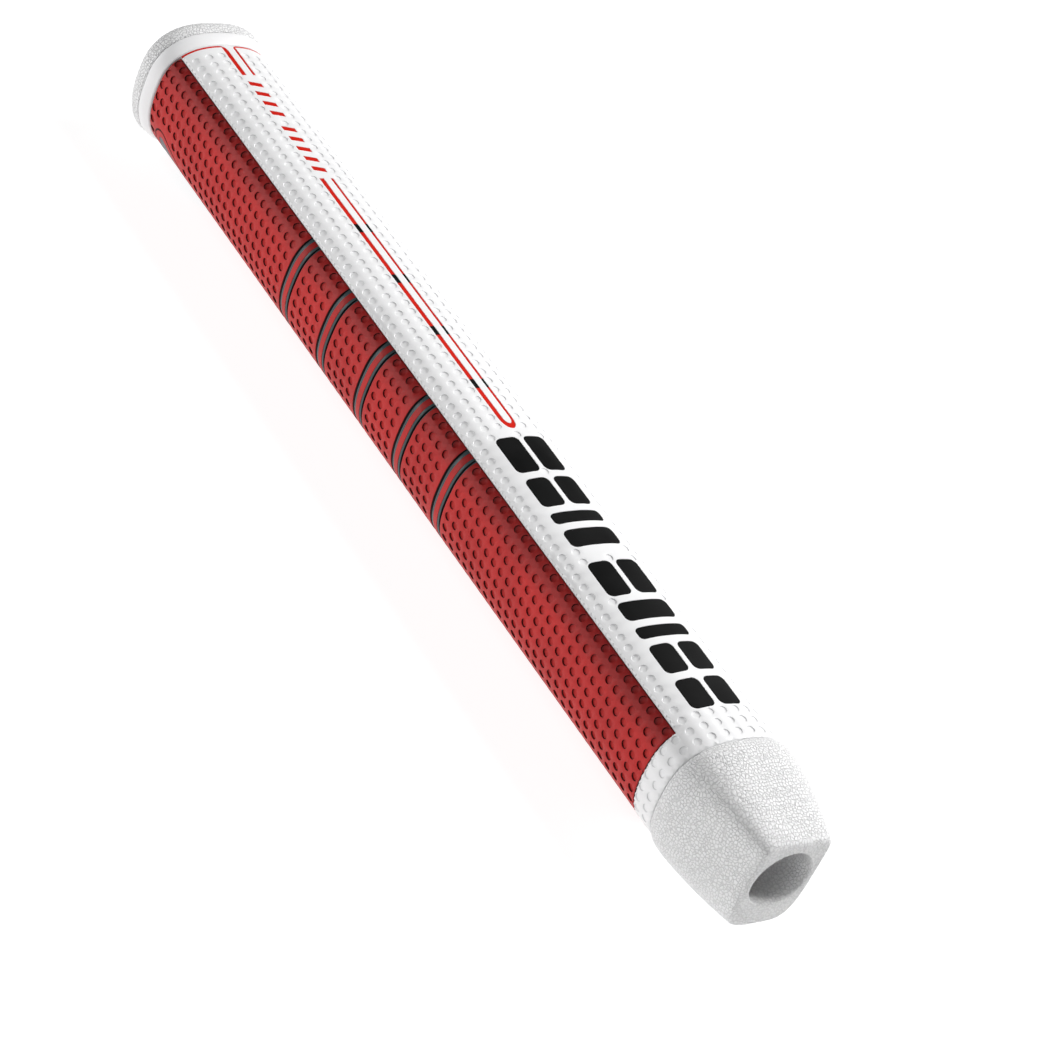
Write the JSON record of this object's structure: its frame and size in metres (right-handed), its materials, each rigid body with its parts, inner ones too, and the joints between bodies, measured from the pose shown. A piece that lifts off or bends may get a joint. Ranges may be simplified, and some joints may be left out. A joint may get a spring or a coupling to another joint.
{
  "type": "golf grip",
  "caption": "Slip-on grip for a putter shaft: rubber core tube, white dimpled front, red ringed wrap, tapered mouth bell, collar and vented end cap.",
  "frame": {"origin": "on the shaft bore's centre line, in the plane of the mouth face that the shaft leaves by", "axes": "+X along the bore, out of the mouth; +Z out of the flat front; +Y to the right of the front seen with the mouth pointing down"},
  "size_m": [0.2667, 0.0324, 0.0328],
  "materials": {
    "core_rubber": "matte foamed rubber",
    "front_white": "satin, dimpled",
    "wrap_red": "satin, dimpled",
    "bell_white": "pebbled",
    "collar_white": "smooth satin",
    "cap_white": "pebbled",
    "badge_grey": "matte paint",
    "ring_dark": "glossy paint",
    "ink_black": "satin paint",
    "ink_red": "satin paint"
  },
  "bodies": {
    "root": {"back_badge": "badge_grey", "butt_collar": "collar_white", "core_sleeve": "core_rubber", "end_cap": "cap_white", "frame_line_narrow": "ink_red", "frame_line_wide": "ink_red", "front_block_1": "ink_black", "front_block_10": "ink_black", "front_block_11": "ink_black", "front_block_12": "ink_black", "front_block_13": "ink_black", "front_block_14": "ink_black", "front_block_2": "ink_black", "front_block_3": "ink_black", "front_block_4": "ink_black", "front_block_5": "ink_black", "front_block_6": "ink_black", "front_block_7": "ink_black", "front_block_8": "ink_black", "front_block_9": "ink_black", "front_shell": "front_white", "front_tick_1": "ink_red", "front_tick_2": "ink_red", "front_tick_3": "ink_red", "front_tick_4": "ink_red", "front_tick_5": "ink_red", "front_tick_6": "ink_red", "front_tick_7": "ink_red", "front_tick_8": "ink_red", "front_tick_9": "ink_red", "mouth_bell": "bell_white", "ring_fill_1a": "ring_dark", "ring_fill_1b": "ring_dark", "ring_fill_2a": "ring_dark", "ring_fill_2b": "ring_dark", "ring_fill_3a": "ring_dark", "ring_fill_3b": "ring_dark", "ring_fill_4a": "ring_dark", "ring_fill_4b": "ring_dark", "ring_fill_5a": "ring_dark", "ring_fill_5b": "ring_dark", "side_wrap": "wrap_red", "sight_line": "ink_red", "sight_step_narrow_1": "ink_black", "sight_step_narrow_2": "ink_black", "sight_step_narrow_3": "ink_black", "sight_step_narrow_4": "ink_black", "sight_step_wide_1": "ink_black", "sight_step_wide_2": "ink_black", "sight_step_wide_3": "ink_black", "sight_step_wide_4": "ink_black"}
  },
  "joints": []
}
